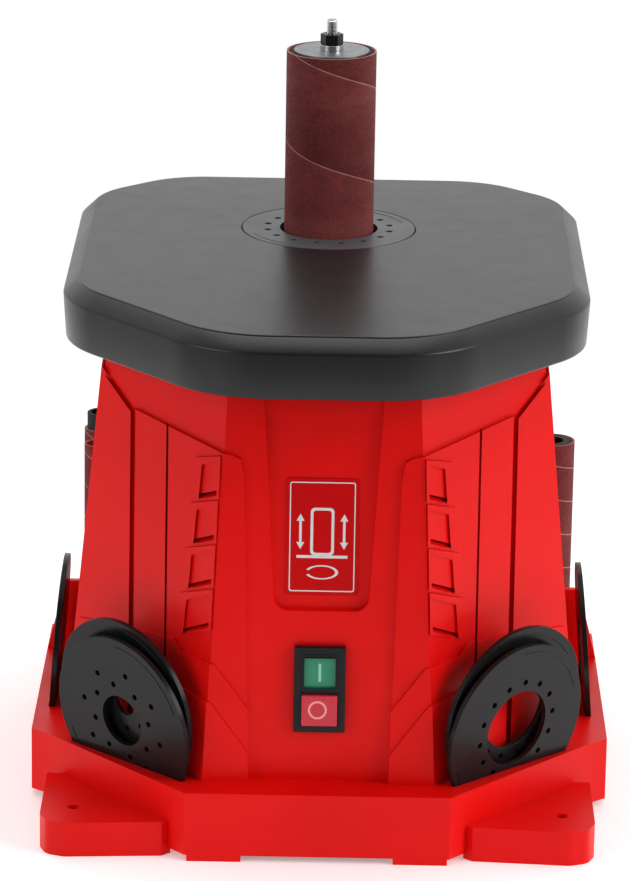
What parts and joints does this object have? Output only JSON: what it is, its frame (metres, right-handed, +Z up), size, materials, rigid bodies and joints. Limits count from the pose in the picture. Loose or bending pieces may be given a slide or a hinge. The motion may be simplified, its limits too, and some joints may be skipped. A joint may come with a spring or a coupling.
{
  "type": "oscillating spindle sander",
  "caption": "Benchtop oscillating spindle sander: a vertical abrasive drum through a dark table on a tapered red housing, with stored insert discs and spare drums round its base.",
  "frame": {"origin": "on the bench plane, under the centre of the table", "axes": "+Z up, -Y towards the operator at the switch, +X to the operator's right"},
  "size_m": [0.328, 0.37, 0.424],
  "materials": {
    "red_plastic": "semi-gloss moulded red with a fine texture",
    "zinc_steel": "zinc plated",
    "badge_film": null,
    "dark_paint": "satin dark grey coat on a cast table",
    "cast_alloy": "as cast",
    "black_plastic": "satin black",
    "motor_paint": "satin grey paint",
    "lamination": "stacked laminations",
    "copper_wire": "lacquered copper",
    "ground_steel": "ground",
    "white_shell": "smooth white",
    "belt_rubber": "ribbed rubber belt",
    "drum_rubber": "dull grey-black rubber",
    "bronze": "machined bronze",
    "abrasive": "red-brown aluminium oxide cloth",
    "disc_plastic": "satin dark moulding",
    "insert_plastic": "satin dark grey moulding",
    "green_plastic": "green",
    "stop_plastic": "red"
  },
  "bodies": {
    "frame": {"base_plinth": "red_plastic", "bottom_cover": "zinc_steel", "base_screws": "zinc_steel", "storage_pegs": "red_plastic", "housing_shell": "red_plastic", "rear_cover": "red_plastic", "rear_screws": "zinc_steel", "badge_plate": "badge_film", "table": "dark_paint", "table_bolts": "zinc_steel", "drive_plate": "cast_alloy", "plate_bolts": "zinc_steel", "dust_hood": "black_plastic", "dust_duct": "black_plastic", "dust_port": "black_plastic", "cable_gland": "black_plastic", "motor_can": "motor_paint", "motor_stator": "lamination", "motor_windings": "copper_wire", "motor_bearings": "ground_steel", "run_capacitor": "white_shell", "drive_belt": "belt_rubber", "lower_bridge": "cast_alloy", "bridge_bearing": "ground_steel", "guide_rods": "ground_steel", "crank_guide": "cast_alloy", "switch_frame": "black_plastic"},
    "rotor": {"rotor_core": "lamination", "rotor_shaft": "ground_steel", "motor_fan": "black_plastic", "drive_pulley": "cast_alloy"},
    "driven": {"driven_pulley": "cast_alloy", "pulley_collar": "zinc_steel"},
    "carriage": {"carriage": "cast_alloy", "spindle_bearings": "ground_steel"},
    "wheel": {"worm_wheel": "bronze", "crank_arm": "ground_steel"},
    "spindle": {"spindle_shaft": "ground_steel", "spindle_key": "ground_steel", "spindle_worm": "ground_steel", "drum_flange": "ground_steel"},
    "drum": {"sanding_drum": "drum_rubber", "sanding_sleeve": "abrasive", "cap_washer": "zinc_steel"},
    "nut": {"nut_washer": "zinc_steel", "drum_nut": "black_plastic"},
    "insert": {"table_insert": "insert_plastic"},
    "left_front_disc": {"disc_left_front": "disc_plastic"},
    "left_back_disc": {"disc_left_back": "disc_plastic"},
    "right_front_disc": {"disc_right_front": "disc_plastic"},
    "right_back_disc": {"disc_right_back": "disc_plastic"},
    "left_side_disc": {"disc_left_side": "disc_plastic"},
    "right_side_disc": {"disc_right_side": "disc_plastic"},
    "left_drum_set": {"drum_left": "drum_rubber", "sleeve_left_rear": "abrasive"},
    "left_sleeve": {"sleeve_left": "abrasive"},
    "right_drum_set": {"drum_right": "drum_rubber", "sleeve_right": "abrasive"},
    "start": {"start_button": "green_plastic"},
    "stop": {"stop_button": "stop_plastic"}
  },
  "joints": [
    {"name": "rotor_spin", "type": "hinge", "parent": "frame", "child": "rotor", "pos_m": [0, -0.05, 0], "axis": [0, 0, 1], "continuous": true},
    {"name": "pulley_spin", "type": "hinge", "parent": "frame", "child": "driven", "pos_m": [0, 0.057, 0], "axis": [0, 0, 1], "continuous": true},
    {"name": "oscillation", "type": "slide", "parent": "frame", "child": "carriage", "axis": [0, 0, 1], "range_m": [-0.008, 0.008]},
    {"name": "spindle_spin", "type": "hinge", "parent": "carriage", "child": "spindle", "pos_m": [0, 0.057, 0], "axis": [0, 0, 1], "continuous": true},
    {"name": "wheel_spin", "type": "hinge", "parent": "carriage", "child": "wheel", "pos_m": [0, 0.0835, 0.15], "axis": [1, 0, 0], "continuous": true},
    {"name": "drum_lift", "type": "slide", "parent": "spindle", "child": "drum", "axis": [0, 0, 1], "range_m": [0, 0.14]},
    {"name": "nut_lift", "type": "slide", "parent": "drum", "child": "nut", "axis": [0, 0, 1], "range_m": [0, 0.02]},
    {"name": "insert_lift", "type": "slide", "parent": "frame", "child": "insert", "axis": [0, 0, 1], "range_m": [0, 0.14]},
    {"name": "left_front_disc_lift", "type": "slide", "parent": "frame", "child": "left_front_disc", "axis": [-0.0949, -0.1018, 0.9903], "range_m": [0, 0.05]},
    {"name": "left_back_disc_lift", "type": "slide", "parent": "frame", "child": "left_back_disc", "axis": [-0.0949, -0.1018, 0.9903], "range_m": [0, 0.05]},
    {"name": "left_side_disc_lift", "type": "slide", "parent": "frame", "child": "left_side_disc", "axis": [0.0767, 0, 0.9971], "range_m": [0, 0.05]},
    {"name": "right_front_disc_lift", "type": "slide", "parent": "frame", "child": "right_front_disc", "axis": [0.0949, -0.1018, 0.9903], "range_m": [0, 0.05]},
    {"name": "right_back_disc_lift", "type": "slide", "parent": "frame", "child": "right_back_disc", "axis": [0.0949, -0.1018, 0.9903], "range_m": [0, 0.05]},
    {"name": "right_side_disc_lift", "type": "slide", "parent": "frame", "child": "right_side_disc", "axis": [-0.0767, 0, 0.9971], "range_m": [0, 0.05]},
    {"name": "left_drum_lift", "type": "slide", "parent": "frame", "child": "left_drum_set", "axis": [0, 0, 1], "range_m": [0, 0.05]},
    {"name": "left_sleeve_lift", "type": "slide", "parent": "frame", "child": "left_sleeve", "axis": [0, 0, 1], "range_m": [0, 0.05]},
    {"name": "right_drum_lift", "type": "slide", "parent": "frame", "child": "right_drum_set", "axis": [0, 0, 1], "range_m": [0, 0.05]},
    {"name": "start_press", "type": "slide", "parent": "frame", "child": "start", "axis": [0, 0.9978, -0.0664], "range_m": [0, 0.003], "stiffness_N_per_m": 300},
    {"name": "stop_press", "type": "slide", "parent": "frame", "child": "stop", "axis": [0, 0.9978, -0.0664], "range_m": [0, 0.003], "stiffness_N_per_m": 300}
  ],
  "couplings": [
    {"joint": "pulley_spin", "follows": "rotor_spin", "ratio": 0.70175},
    {"joint": "spindle_spin", "follows": "rotor_spin", "ratio": 0.70175},
    {"joint": "wheel_spin", "follows": "rotor_spin", "ratio": 0.02064}
  ]
}
